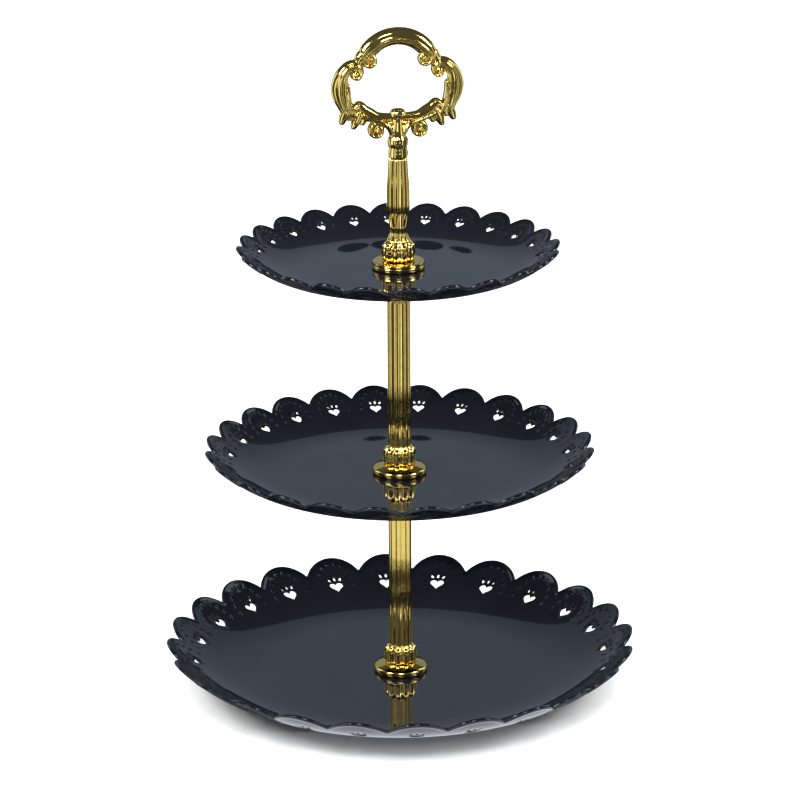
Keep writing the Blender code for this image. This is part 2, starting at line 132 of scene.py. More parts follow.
def place_camera():
    azimuth, elevation, roll = radians(-10.5), radians(17.7937), radians(-0.31)
    distance, aside, height = 2.01114, 0.00044, 0.1660
    forward = Vector((-sin(azimuth) * cos(elevation), cos(azimuth) * cos(elevation), -sin(elevation)))
    right = Vector((cos(azimuth), sin(azimuth), 0.0))
    axes = Matrix((right, right.cross(forward), -forward)).transposed()
    camera = bpy.data.objects.new("camera", bpy.data.cameras.new("camera"))
    camera.data.lens = 163.94
    camera.data.sensor_width = 36.0
    target = Vector((0.0, 0.0, height)) + aside * right
    camera.matrix_world = Matrix.Translation(target - distance * forward) @ \
        (axes @ Matrix.Rotation(roll, 3, "Z")).to_4x4()
    bpy.context.scene.collection.objects.link(camera)
    bpy.context.scene.camera = camera


# Mesh helpers

class Patch:
    """Points and faces that are gathered before they become one mesh."""

    def __init__(self):
        self.points = []
        self.faces = []

    def add(self, points):
        start = len(self.points)
        self.points.extend(tuple(p) for p in points)
        return list(range(start, len(self.points)))

    def strip(self, ring, other, closed=True):
        count = len(ring)
        for i in range(count if closed else count - 1):
            j = (i + 1) % count
            self.faces.append((ring[i], ring[j], other[j], other[i]))

    def skin(self, rings, closed=True):
        for ring, following in zip(rings, rings[1:]):
            self.strip(ring, following, closed)

    def cap(self, ring, middle):
        tip = self.add([middle])[0]
        for i, corner in enumerate(ring):
            self.faces.append((corner, ring[(i + 1) % len(ring)], tip))

    def mesh(self, name, sharp=60.0, weld=2e-6):
        bm = bmesh.new()
        corners = [bm.verts.new(p) for p in self.points]
        for face in self.faces:
            bm.faces.new([corners[i] for i in face])
        bmesh.ops.remove_doubles(bm, verts=bm.verts, dist=weld)
        bmesh.ops.dissolve_degenerate(bm, edges=bm.edges, dist=weld / 4.0)
        bmesh.ops.recalc_face_normals(bm, faces=bm.faces)
        mesh = bpy.data.meshes.new(name)
        bm.to_mesh(mesh)
        bm.free()
        mesh.shade_smooth()
        mesh.set_sharp_from_angle(angle=radians(sharp))
        return mesh


def add_piece(name, mesh, look, body, slot, *nodes):
    obj = bpy.data.objects.new(name, mesh)
    mesh.materials.append(look)
    bpy.context.scene.collection.objects.link(obj)
    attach(obj, body)
    if nodes:
        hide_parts(*nodes)
    return obj


# Plates

class Dish:
    """The shape of one plate: places on it are an angle and a distance along its wall."""

    def __init__(self, name):
        self.name = name
        self.height = FLOORS[name]
        self.turn = TURNS[name]
        self.radius = reach(name)
        self.floor = FLOOR_SHARE * self.radius
        self.width = self.radius - self.floor
        self.rise = WALL_RISE * self.radius
        lip = (self.radius - PLATE_WALL * self.lean(1.0) - self.floor) / self.width
        self.rise = (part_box(name)[1].z - self.height) / lip ** WALL_CURVE
        self.scallop = SCALLOP_SHARE * self.radius
        self.heart = HEART_SHARE * self.radius
        self.scale = self.radius / reach("bottom_plate")
        self.shares = np.linspace(0.0, 1.06, 400)
        radii = self.floor + self.shares * self.width
        heights = self.rise * self.shares ** WALL_CURVE
        steps = np.hypot(np.diff(radii), np.diff(heights))
        self.lengths = np.concatenate([[0.0], np.cumsum(steps)])

    def slope(self, share):
        return WALL_CURVE * self.rise / self.width * share ** (WALL_CURVE - 1.0)

    def lean(self, share):
        slope = self.slope(share)
        return slope / sqrt(1.0 + slope * slope)

    def share_at(self, length):
        return float(np.interp(length, self.lengths, self.shares))

    def length_at(self, share):
        return float(np.interp(share, self.shares, self.lengths))

    def wall(self, share, above):
        """Radius and height of a point above the middle of the wall's thickness."""
        slope = self.slope(share)
        tilt = sqrt(1.0 + slope * slope)
        lift = above - PLATE_WALL / 2.0
        radius = self.floor + share * self.width - lift * slope / tilt
        return radius, self.rise * share ** WALL_CURVE + lift / tilt

    def place(self, angle, length, above):
        share = self.share_at(length) if length > 0.0 else 0.0
        radius, height = self.wall(share, above)
        if length <= 0.0:
            radius += length
        turned = angle + self.turn
        return Vector((radius * cos(turned), radius * sin(turned), height + self.height))

    def edge(self, angle):
        """The rim's radius at an angle from the middle of a scallop."""
        half_chord = self.radius * SECTOR / 2.0
        arch = SCALLOP_CURVE * half_chord
        base = sqrt(arch ** 2 - half_chord ** 2)
        across = 2.0 * angle / SECTOR * half_chord
        rise = (sqrt(max(arch ** 2 - across ** 2, 0.0)) - base) / (arch - base)
        return self.radius - self.scallop * (1.0 - rise)

    def edge_point(self, angle):
        radius = self.edge(angle)
        return np.array([radius * cos(angle), radius * sin(angle)])

    def edge_normal(self, angle):
        step = 1e-4
        tangent = self.edge_point(angle + step) - self.edge_point(angle - step)
        normal = np.array([tangent[1], -tangent[0]])
        return normal / np.linalg.norm(normal)


def rim_middle(dish, arch_steps=26, notch_steps=8):
    """The middle line of the rolled edge over one scallop, as angles and lengths along the wall."""
    low, high = 0.0, SECTOR / 2.0
    for _ in range(40):
        trial = (low + high) / 2.0
        centre = dish.edge_point(trial) + NOTCH_FILLET * dish.edge_normal(trial)
        if atan2(centre[1], centre[0]) < SECTOR / 2.0:
            low = trial
        else:
            high = trial
    centre = dish.edge_point(low) + NOTCH_FILLET * dish.edge_normal(low)
    normal = dish.edge_normal(low)
    spread = atan2(normal[1], normal[0]) - SECTOR / 2.0
    half = []
    for i in range(notch_steps // 2):
        turn = SECTOR / 2.0 + spread * i / (notch_steps // 2)
        away = np.array([cos(turn), sin(turn)])
        half.append(centre - (NOTCH_FILLET + BEAD_RADIUS) * away)
    for i in range(arch_steps // 2 + 1):
        angle = low * (1.0 - i / (arch_steps // 2))
        half.append(dish.edge_point(angle) - BEAD_RADIUS * dish.edge_normal(angle))
    points = [np.array([p[0], -p[1]]) for p in half] + [p for p in reversed(half[:-1])]
    line = []
    for x, y in points:
        radius = hypot(x, y)
        share = (radius - dish.floor) / dish.width
        for _ in range(4):
            share = (radius - dish.floor - PLATE_WALL / 2.0 * dish.lean(share)) / dish.width
        line.append((atan2(y, x), dish.length_at(share)))
    line[0] = (-SECTOR / 2.0, line[0][1])
    line[-1] = (SECTOR / 2.0, line[-1][1])
    return line


def inward_normals(dish, line):
    """Directions into the plate from each point of the rim's middle line, as (round, along)."""
    first = (line[-2][0] - SECTOR, line[-2][1])
    last = (line[1][0] + SECTOR, line[1][1])
    padded = [first] + line + [last]
    normals = []
    for before, here, after in zip(padded, padded[1:], padded[2:]):
        radius = dish.wall(dish.share_at(here[1]), 0.0)[0]
        along = np.array([(after[0] - before[0]) * radius, after[1] - before[1]])
        along /= np.linalg.norm(along)
        normals.append((along[1], -along[0]))
    return normals


def inset(dish, line, normals, distance):
    moved = []
    for (angle, length), (round_, along) in zip(line, normals):
        radius = dish.wall(dish.share_at(length), 0.0)[0]
        moved.append((angle + round_ * distance / radius, length + along * distance))
    moved[0] = (line[0][0], moved[0][1])
    moved[-1] = (line[-1][0], moved[-1][1])
    return moved


def rolled_edge(dish, patch, line, normals):
    """The bead round one scallop, from the wall's upper face over the edge to its lower face."""
    blend_steps, round_steps = 5, 10
    half = PLATE_WALL / 2.0
    rows = []
    for j in range(blend_steps + 1):
        distance = BEAD_BLEND * (1.0 - j / blend_steps)
        swell = 0.5 + 0.5 * cos(pi * distance / BEAD_BLEND)
        moved = inset(dish, line, normals, distance)
        rows.append((moved, half + (BEAD_RADIUS - half) * swell))
    upper = [[dish.place(a, s, above) for a, s in moved] for moved, above in rows]
    lower = [[dish.place(a, s, -above) for a, s in moved] for moved, above in rows]
    middle = [dish.place(a, s, 0.0) for a, s in line]
    outer = []
    for point, ahead in zip(middle, upper[-1]):
        outer.append((point, (ahead - point).normalized()))
    around = []
    probe = inset(dish, line, normals, 1e-4)
    for j in range(1, round_steps):
        turn = pi * j / round_steps
        ring = []
        for (point, normal), (a, s) in zip(outer, probe):
            out = (point - dish.place(a, s, 0.0)).normalized()
            out = (out - out.dot(normal) * normal).normalized()
            ring.append(point + BEAD_RADIUS * (cos(turn) * normal + sin(turn) * out))
        around.append(ring)
    rings = [patch.add(ring) for ring in upper + around + list(reversed(lower))]
    patch.skin(rings, closed=False)


def heart_outline(dish):
    """A heart about its middle, its tip towards the floor, as distances round and along the wall."""
    half = dish.heart / 2.0
    count = 36
    points = []
    for i in range(count):
        t = tau * i / count
        along = 13.0 * cos(t) - 5.0 * cos(2.0 * t) - 2.0 * cos(3.0 * t) - cos(4.0 * t)
        points.append((half * sin(t) ** 3, half * (along + 2.0) / 16.0))
    return points


def petal_outline(length, width, tilt):
    """A drop-shaped hole, its point away from the heart."""
    points = []
    count = 12
    for i in range(count):
        t = tau * i / count
        across = width / 2.0 * sin(t) * (1.0 - 0.35 * cos(t))
        along = length / 2.0 * cos(t)
        points.append((across * cos(tilt) + along * sin(tilt), along * cos(tilt) - across * sin(tilt)))
    return points


def round_outline(radius, count=12):
    return [(radius * cos(tau * i / count), radius * sin(tau * i / count)) for i in range(count)]


def grown(outline, distance):
    """The outline moved outwards by a distance."""
    points = np.array(outline)
    ahead = np.roll(points, -1, axis=0) - np.roll(points, 1, axis=0)
    area = np.sum(points[:, 0] * np.roll(points[:, 1], -1) - np.roll(points[:, 0], -1) * points[:, 1])
    ahead /= np.maximum(np.linalg.norm(ahead, axis=1, keepdims=True), 1e-9)
    outward = np.stack([ahead[:, 1], -ahead[:, 0]], axis=1) * np.sign(area)
    return points + distance * outward


def inside(points, polygon):
    """Whether each point lies within the polygon."""
    x, y = points[:, 0][:, None], points[:, 1][:, None]
    px, py = polygon[:, 0][None, :], polygon[:, 1][None, :]
    qx, qy = np.roll(px, -1, axis=1), np.roll(py, -1, axis=1)
    crosses = (py > y) != (qy > y)
    run = np.where(qy == py, 1e-12, qy - py)
    return (np.sum(crosses & (x < (qx - px) * (y - py) / run + px), axis=1) % 2) == 1


def pattern(dish):
    """The cut-outs and dots of one scallop, as (kind, angle, length, outline)."""
    middle = dish.length_at(HEART_PLACE)
    radius = dish.wall(HEART_PLACE, 0.0)[0]
    crest = dish.length_at((dish.radius - PLATE_WALL - dish.floor) / dish.width)
    shapes = [("hole", 0.0, middle, heart_outline(dish))]
    long, wide = (size * dish.scale ** 0.6 for size in PETAL_SIZE)
    for side in (-1, 0, 1):
        lift = (0.60 - 0.05 * abs(side)) * dish.heart + 0.0012 * dish.scale
        shape = petal_outline(long, wide, side * PETAL_TILT)
        shapes.append(("hole", side * 0.40 * dish.heart / radius, middle + lift, shape))
    across = DOT_SPREAD * radius * SECTOR / 2.0
    along_wall = crest - middle - DOT_INSET * dish.scale
    for i in range(DOTS):
        turn = DOT_STEP * (i - (DOTS - 1) / 2.0)
        place = middle + along_wall * cos(turn)
        outline = round_outline(DOT_RADIUS * dish.scale ** 0.5)
        shapes.append(("dot", across * sin(turn) / radius, place, outline))
    return shapes


def lace_sheet(dish, rim, shapes, spacing):
    """One sector of the wall with its cut-outs, as flat points and triangles."""
    stretch = dish.radius
    start = dish.length_at(LACE_FROM)
    outer = [(a * stretch, s) for a, s in rim]
    half = SECTOR / 2.0 * stretch
    columns = 8
    rows = max(6, ceil((rim[0][1] - start) / (1.5 * spacing)))
    sides = [start + (rim[0][1] - start) * i / rows for i in range(1, rows)]
    foot = [(half - 2.0 * half * i / columns, start) for i in range(columns + 1)]
    boundary = outer + [(half, s) for s in reversed(sides)] + foot + [(-half, s) for s in sides]
    points = [Vector(p) for p in boundary]
    edges = [(i, (i + 1) % len(boundary)) for i in range(len(boundary))]
    holes = []
    for angle, length, outline in shapes:
        radius = dish.wall(dish.share_at(length), 0.0)[0]
        loop = [(angle * stretch + x * stretch / radius, length + y) for x, y in outline]
        base = len(points)
        points += [Vector(p) for p in loop]
        edges += [(base + i, base + (i + 1) % len(loop)) for i in range(len(loop))]
        holes.append(np.array(loop))
    taken = np.array([tuple(p) for p in points])
    border = np.array(boundary)
    grid = []
    top = max(s for _, s in outer)
    count = int((top - start) / (spacing * 0.87)) + 1
    for row in range(1, count):
        shift = 0.5 * (row % 2)
        for column in range(-int(half / spacing) - 1, int(half / spacing) + 2):
            grid.append(((column + shift) * spacing, start + row * spacing * 0.87))
    grid = np.array(grid)
    keep = inside(grid, border)
    for loop in holes:
        keep &= ~inside(grid, loop)
    grid = grid[keep]
    gaps = np.sqrt(((grid[:, None, :] - taken[None, :, :]) ** 2).sum(axis=2)).min(axis=1)
    points += [Vector(p) for p in grid[gaps > 0.55 * spacing]]
    flat, _, faces, *_ = delaunay_2d_cdt(points, edges, [], 0, 1e-7)
    flat = np.array([tuple(p) for p in flat])
    faces = [f for f in faces if len(f) == 3]
    centres = np.array([flat[list(f)].mean(axis=0) for f in faces])
    keep = inside(centres, border)
    for loop in holes:
        keep &= ~inside(centres, loop)
    kept = [f for f, wanted in zip(faces, keep) if wanted]
    return [(x / stretch, y) for x, y in flat], kept


def loop_at(dish, angle, length, outline, above):
    radius = dish.wall(dish.share_at(length), 0.0)[0]
    return [dish.place(angle + x / radius, length + y, above) for x, y in outline]


def cut_through(dish, patch, angle, length, outline):
    """The rounded inner wall of a cut-out."""
    half = PLATE_WALL / 2.0
    steps = ((1.0, 0.0), (0.3, 0.3), (0.0, 1.0))
    sections = [(HOLE_EDGE * out, half - HOLE_EDGE * down) for out, down in steps]
    sections += [(out, -above) for out, above in reversed(sections)]
    rings = []
    for out, above in sections:
        rings.append(patch.add(loop_at(dish, angle, length, grown(outline, out), above)))
    patch.skin(rings)


def dimple(dish, patch, angle, length, outline):
    """A round pit in the upper face."""
    half = PLATE_WALL / 2.0
    points = np.array(outline)
    rings = []
    for share, down in ((1.0, 0.0), (0.82, 0.18), (0.66, 0.62), (0.42, 0.92)):
        rings.append(patch.add(loop_at(dish, angle, length, points * share, half - DOT_DEPTH * down)))
    patch.skin(rings)
    patch.cap(rings[-1], dish.place(angle, length, half - DOT_DEPTH))


def floor_profile(dish, face):
    """Stations along one face of the plain part, from the start of the lace in to the hub."""
    start = dish.length_at(LACE_FROM)
    half = PLATE_WALL / 2.0
    stations = [(start * (1.0 - i / 6.0), face * half) for i in range(7)]
    hub = HUB_RADIUS - dish.floor
    if face > 0:
        inner = [(hub * share, half) for share in (0.10, 0.25, 0.45, 0.65, 0.85, 0.985)]
        return stations + inner
    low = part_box(dish.name)[0].z - dish.height + half
    inner = []
    if low < -half - PLATE_WALL:
        side = FOOT_OUTER - dish.floor
        far = FOOT_INNER - dish.floor
        sliver = 0.0001
        inner = [(side + FOOT_EDGE, -half), (side + sliver, -half - FOOT_EDGE),
                 (side - sliver, low + FOOT_EDGE), (side - FOOT_EDGE, low), (far + FOOT_EDGE, low),
                 (far + sliver, low + FOOT_EDGE), (far - sliver, -half - FOOT_EDGE), (far - FOOT_EDGE, -half)]
    return stations + inner + [(hub * share, -half) for share in (0.25, 0.45, 0.65, 0.85, 0.985)]


def plain_part(dish, patch):
    """The floor, the foot and the plain lower wall, as rings round the axis."""
    count = SCALLOPS * 8
    rings = []
    hub = HUB_RADIUS - dish.floor
    profile = floor_profile(dish, 1) + [(hub, 0.0)] + list(reversed(floor_profile(dish, -1)))
    for length, above in profile:
        ring = []
        for i in range(count):
            angle = SECTOR * (i / 8.0) - SECTOR / 2.0
            ring.append(dish.place(angle, length, above))
        rings.append(patch.add(ring))
    patch.skin(rings)


def make_plate(name, look, body):
    dish = Dish(name)
    spacing = LACE_SPACING * dish.scale ** 0.5
    patch = Patch()
    line = rim_middle(dish)
    normals = inward_normals(dish, line)
    rim = inset(dish, line, normals, BEAD_BLEND)
    shapes = pattern(dish)
    holes = [(a, s, grown(o, HOLE_EDGE)) for kind, a, s, o in shapes if kind == "hole"]
    dots = [(a, s, o) for kind, a, s, o in shapes if kind == "dot"]
    half = PLATE_WALL / 2.0
    sheets = ((*lace_sheet(dish, rim, holes + dots, spacing), half),
              (*lace_sheet(dish, rim, holes, 1.4 * spacing), -half))
    for k in range(SCALLOPS):
        turn = SECTOR * k
        for flat, faces, above in sheets:
            places = patch.add([dish.place(a + turn, s, above) for a, s in flat])
            patch.faces += [tuple(places[i] for i in face) for face in faces]
        rolled_edge(dish, patch, [(a + turn, s) for a, s in line], normals)
        for kind, angle, length, outline in shapes:
            make = cut_through if kind == "hole" else dimple
            make(dish, patch, angle + turn, length, outline)
    plain_part(dish, patch)
    add_piece(f"{name}_lace", patch.mesh(name, sharp=75.0), look, body, "plate_black", name)


# Posts

def groove(angle):
    """0 in the sharp groove between two ribs, 1 along the middle of a rib."""
    return abs(sin(RIBS * (angle - GROOVE_TURN) / 2.0))


def rib_round(angle):
    """How far along a rib's rounded end reaches at an angle, as a share of half its width."""
    across = 2.0 * (((angle - GROOVE_TURN) / (tau / RIBS)) % 1.0) - 1.0
    return sqrt(max(0.0, 1.0 - across * across))


def smooth(value, low, high):
    share = min(1.0, max(0.0, (value - low) / (high - low)))
    return share * share * (3.0 - 2.0 * share)


def along(stations, height):
    """A radius at a height, from (height, radius) stations joined by an even curve."""
    heights = [h for h, _ in stations]
    radii = [r for _, r in stations]
    slopes = np.gradient(radii, heights)
    height = min(max(height, heights[0]), heights[-1])
    k = min(max(int(np.searchsorted(heights, height)) - 1, 0), len(heights) - 2)
    run = heights[k + 1] - heights[k]
    t = (height - heights[k]) / run
    return ((2 * t ** 3 - 3 * t ** 2 + 1) * radii[k] + (t ** 3 - 2 * t ** 2 + t) * run * slopes[k]
            + (3 * t ** 2 - 2 * t ** 3) * radii[k + 1] + (t ** 3 - t ** 2) * run * slopes[k + 1])


def ribbed_post(name, floor, foot, top, radius_at, bores, look, body, slot, node):
    """A post piece from its foot to its top, with a blind hole in each end, as (radius, depth)."""
    patch = Patch()
    around = RIBS * 14
    angles = [tau * i / around for i in range(around)]

    def ring(radii, height):
        return patch.add([(r * cos(a), r * sin(a), floor + height) for r, a in zip(radii, angles)])

    (low_radius, low_depth), (high_radius, high_depth) = bores
    rings = [ring([low_radius] * around, foot + low_depth), ring([low_radius] * around, foot)]
    rise = top - foot
    count = int(rise / POST_STEP)
    for i in range(count + 1):
        height = foot + rise * i / count
        near = min(height - foot, top - height)
        cut = POST_EDGE * (1.0 - min(1.0, near / POST_EDGE)) ** 2
        rings.append(ring([radius_at(angle, height) - cut for angle in angles], height))
    rings += [ring([high_radius] * around, top), ring([high_radius] * around, top - high_depth)]
    patch.skin(rings)
    patch.cap(list(reversed(rings[0])), (0.0, 0.0, floor + foot + low_depth))
    patch.cap(rings[-1], (0.0, 0.0, floor + top - high_depth))
    return add_piece(name, patch.mesh(name, sharp=40.0), look, body, slot, node)


BULB_SHAPE = ((0.0046, 0.0083), (0.0058, 0.0090), (0.0075, 0.00935), (0.0100, 0.0093),
              (0.0125, 0.00905), (0.0142, 0.0086), (0.0156, 0.0078), (0.0170, 0.0069))


def bulb_radius(angle, height, petal_top):
    """The bulb at the foot of a post: a petal under each rib, its rounded top standing proud."""
    step = 0.00045
    line = petal_top + 0.0021 * rib_round(angle) - 0.0005
    full = along(BULB_SHAPE, height)
    petal = full - 1.45 * RIB_DEPTH * (1.0 - groove(angle))
    above = min(full - 0.0009, 0.0083) - RIB_DEPTH * (1.0 - groove(angle))
    return above + (petal - above) * smooth(line - height, -step, step)


def rod_radius(angle, height, collar):
    """Ribs that end in round arches under a plain collar, above the bulb."""
    rib = ROD_RADIUS - RIB_DEPTH * (1.0 - groove(angle))
    if height < BULB_TOP:
        blend = smooth(height, BULB_TOP - 0.0018, BULB_TOP + 0.0010)
        return bulb_radius(angle, height, PETAL_TOP) * (1.0 - blend) + rib * blend
    line = collar + 0.0018 * rib_round(angle)
    plain = COLLAR_RADIUS + 0.0011 * smooth(height, collar + 0.0065, collar + 0.0120)
    ring = 0.00045 * smooth(height, collar + 0.0128, collar + 0.0134)
    return rib + (plain + ring - rib) * smooth(height - line, -0.00035, 0.00035)


STEM_SHAPE = ((0.0165, 0.0061), (0.0185, 0.0053), (0.0230, 0.00485), (0.0280, 0.0056),
              (0.0330, 0.00632), (0.0390, 0.00640), (0.0450, 0.00632), (0.0520, 0.0058), (0.0620, 0.00525))


def stem_radius(angle, height):
    """The waisted stem under the ring, ribbed along its length."""
    shaft = along(STEM_SHAPE, height) - RIB_DEPTH * 0.9 * (1.0 - groove(angle))
    if height >= BULB_TOP:
        return shaft
    blend = smooth(height, BULB_TOP - 0.0020, BULB_TOP)
    return bulb_radius(angle, height, STEM_PETAL_TOP) * (1.0 - blend) + shaft * blend


# Turned pieces

def rounded(profile, fillet, steps=5):
    """A closed profile with every corner rounded; a corner may carry its own fillet."""
    out = []
    count = len(profile)
    for i in range(count):
        before, here, after = (np.array(profile[(i + k) % count][:2]) for k in (-1, 0, 1))
        size = profile[i][2] if len(profile[i]) > 2 else fillet
        back, ahead = before - here, after - here
        size = min(size, 0.45 * np.linalg.norm(back), 0.45 * np.linalg.norm(ahead))
        first = here + size * back / np.linalg.norm(back)
        last = here + size * ahead / np.linalg.norm(ahead)
        for k in range(steps + 1):
            t = k / steps
            out.append(tuple((1 - t) ** 2 * first + 2 * t * (1 - t) * here + t * t * last))
    return out


def lathe(name, floor, profile, look, body, slot, node, steps=96):
    patch = Patch()
    rings = []
    for radius, height in profile:
        ring = [(radius * cos(tau * i / steps), radius * sin(tau * i / steps), floor + height)
                for i in range(steps)]
        rings.append(patch.add(ring))
    patch.skin(rings + rings[:1])
    return add_piece(name, patch.mesh(name, sharp=50.0), look, body, slot, node)


def flange_profile():
    """A domed flange with a round lip, hollowed underneath for its gasket."""
    side = 0.0151
    corners = [(BORE_RADIUS, 0.0054, 0.0002), (0.0095, 0.0054, 0.0005), (0.0118, 0.0047, 0.002),
               (0.0138, 0.0040, 0.0012), (side, 0.0031, 0.0011),
               (side, 0.0012, 0.0009), (side - 0.0006, 0.0002, 0.0004),
               (0.0128, 0.0002, 0.0002), (0.0127, 0.0012, 0.0002), (BORE_RADIUS, 0.0012, 0.0002)]
    return rounded(corners, 0.0003)


def disc_profile():
    """A plain disc with a shallow line turned into its side."""
    side = 0.0145
    corners = [(BORE_RADIUS, 0.0045, 0.0002), (side - 0.0010, 0.0045, 0.0004),
               (side - 0.0002, 0.0042, 0.0004),
               (side, 0.0030, 0.0003), (side - 0.0003, 0.0027, 0.0002), (side, 0.0024, 0.0003),
               (side, 0.0008, 0.0005), (side - 0.0006, 0.0002, 0.0003),
               (0.0126, 0.0002, 0.0002), (0.0125, 0.0012, 0.0002), (BORE_RADIUS, 0.0012, 0.0002)]
    return rounded(corners, 0.0003)


def ring_profile(node, floor):
    """A washer of the node's own size, its edges rounded."""
    low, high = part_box(node)
    outer = reach(node)
    base, top = low.z - floor, high.z - floor
    fillet = 0.3 * (top - base)
    corners = [(HUB_RADIUS, top), (outer, top), (outer, (top + base) / 2.0), (outer, base),
               (HUB_RADIUS, base)]
    return rounded(corners, fillet, 3)


# Ring of the handle: a casting in the XZ plane, in millimetres from the foot of its neck

MM = 0.001
CAST_VOXEL = 0.00026
ARCH_RADIUS = 20.0
ARCH_MIDDLE = 46.9
ARCH_EYE = (15.0, 54.3)
LOBE_EYE = (22.8, 46.8)
FOOT_EYE = (11.5, 15.8)
# bars: points of (x, z, half width, half depth)
JOINT = ((18.4, 58.6, 2.6, 3.4), (20.3, 56.0, 2.9, 3.4), (21.6, 53.2, 2.7, 3.4))
LOBE = ((23.6, 47.5, 0.9, 3.0), (24.4, 45.7, 1.1, 3.3), (22.1, 44.5, 1.25, 3.6), (20.0, 46.8, 1.45, 3.8),
        (20.5, 50.1, 2.0, 4.0), (22.9, 52.2, 2.6, 4.1), (26.2, 51.4, 3.1, 4.2), (29.0, 48.6, 3.6, 4.3),
        (30.8, 45.2, 4.1, 4.3), (31.4, 40.2, 5.0, 4.3), (31.0, 35.0, 4.6, 4.2), (30.0, 31.2, 3.7, 4.0),
        (28.8, 27.6, 2.9, 3.7), (28.0, 25.4, 2.2, 3.3))
STRAND = ((26.6, 41.0, 0.9, 2.6), (26.9, 36.5, 1.5, 3.5), (26.4, 31.5, 1.8, 3.9), (25.0, 27.4, 1.8, 3.7),
          (23.4, 24.4, 1.5, 3.2))
SWEEP = ((23.4, 28.4, 1.8, 3.6), (21.3, 29.6, 2.6, 4.0), (18.2, 27.2, 2.9, 4.1), (14.8, 25.0, 3.0, 4.0),
         (11.2, 23.4, 2.4, 3.9), (7.6, 23.0, 2.1, 3.8), (4.0, 22.9, 1.9, 3.7), (1.0, 22.8, 1.7, 3.6))
BRANCH = ((2.5, 9.8, 1.5, 3.6), (3.1, 13.8, 1.8, 3.9), (5.3, 17.7, 1.8, 4.1), (8.6, 19.9, 1.7, 4.1),
          (12.2, 21.2, 1.7, 4.0), (16.0, 22.4, 1.7, 3.8), (19.6, 24.0, 1.5, 3.4))
LEAVES = (((27.8, 28.0, 2.4, 3.4), (28.9, 25.0, 2.7, 3.4), (29.9, 22.9, 2.5, 3.0), (30.5, 21.4, 2.0, 2.5)),
          ((25.2, 27.0, 1.9, 3.2), (26.0, 24.6, 2.1, 3.0), (26.6, 23.2, 1.7, 2.5)),
          ((21.0, 25.6, 2.1, 3.2), (22.3, 22.2, 2.5, 3.2), (23.5, 19.8, 2.4, 3.0), (24.1, 18.4, 1.9, 2.4)),
          ((17.4, 24.0, 1.8, 3.0), (18.5, 21.6, 2.0, 2.9), (19.2, 20.2, 1.7, 2.4)))
KNOB = ((-1.5, 24.4, 2.9, 3.7), (0.0, 24.5, 2.9, 3.9), (1.5, 24.4, 2.9, 3.7))
# the neck: (height, radius)
NECK = ((0.0, 5.25), (1.4, 5.5), (3.1, 5.55), (4.4, 5.3), (5.6, 5.15), (7.2, 5.55), (9.1, 5.9), (10.8, 5.45),
        (12.1, 4.7), (14.5, 4.1), (18.0, 3.7), (21.0, 3.3), (23.5, 2.6))

def curve_through(points, spacing=0.35):
    """Even steps along a smooth curve; each point is (x, z, half width, half depth)."""
    points = np.array(points, float)
    runs = np.hypot(np.diff(points[:, 0]), np.diff(points[:, 1]))
    marks = np.concatenate([[0.0], np.cumsum(runs)])
    slopes = np.gradient(points, marks, axis=0)
    out = []
    for k in range(len(points) - 1):
        run = marks[k + 1] - marks[k]
        count = max(2, int(run / spacing))
        for i in range(count):
            t = i / count
            out.append((2 * t ** 3 - 3 * t ** 2 + 1) * points[k] + (t ** 3 - 2 * t ** 2 + t) * run * slopes[k]
                       + (3 * t ** 2 - 2 * t ** 3) * points[k + 1] + (t ** 3 - t ** 2) * run * slopes[k + 1])
    out.append(points[-1])
    return np.array(out)


def ridged(turn, ridges, depth, start):
    """The size of a bar's section at an angle from its outer side: plain there, ridged inside."""
    share = abs(turn) / pi
    if share < start or not ridges:
        return 1.0
    inner = (share - start) / (1.0 - start)
    return 1.0 - depth * (1.0 - abs(cos(pi * ridges * inner))) * smooth(inner, 0.0, 0.08)


def bar(patch, points, ridges=0, depth=0.10, start=0.42, outer=1, around=40):
    """A bar swept along a curve, with rounded ends; outer is the side of the path without ridges."""
    path = curve_through(points)
    tangents = np.gradient(path[:, :2], axis=0)
    tangents /= np.linalg.norm(tangents, axis=1, keepdims=True)
    rings = []
    total = len(path)
    end_steps = 6
    stations = [(0, -cos(pi / 2.0 * k / end_steps), sin(pi / 2.0 * k / end_steps))
                for k in range(1, end_steps)]
    stations += [(i, 0.0, 1.0) for i in range(total)]
    stations += [(total - 1, cos(pi / 2.0 * k / end_steps), sin(pi / 2.0 * k / end_steps))
                 for k in reversed(range(1, end_steps))]
    for i, ahead, size in stations:
        x, z, wide, deep = path[i]
        tx, tz = tangents[i]
        nx, nz = outer * tz, -outer * tx
        cx, cz = x + ahead * wide * tx, z + ahead * wide * tz
        ring = []
        for j in range(around):
            turn = tau * j / around
            turn = turn - tau if turn > pi else turn
            k = ridged(turn, ridges, depth, start) * size
            ring.append((MM * (cx + wide * k * cos(turn) * nx), MM * deep * k * sin(turn),
                         MM * (cz + wide * k * cos(turn) * nz)))
        rings.append(patch.add(ring))
    patch.skin(rings)
    for ring, i, ahead in ((rings[0], 0, -1.0), (rings[-1], total - 1, 1.0)):
        x, z, wide, _ = path[i]
        tx, tz = tangents[i]
        patch.cap(ring, (MM * (x + ahead * wide * tx), 0.0, MM * (z + ahead * wide * tz)))


def egg(patch, x, z, size, depth):
    """A rounded knob; size is its radius in the ring's plane."""
    rows, around = 12, 28
    rings = []
    for i in range(1, rows):
        polar = pi * i / rows
        ring = []
        for j in range(around):
            turn = tau * j / around
            ring.append((MM * (x + size * sin(polar) * cos(turn)), MM * depth * cos(polar),
                         MM * (z + size * sin(polar) * sin(turn))))
        rings.append(patch.add(ring))
    patch.skin(rings)
    patch.cap(rings[0], (MM * x, MM * depth, MM * z))
    patch.cap(rings[-1], (MM * x, -MM * depth, MM * z))


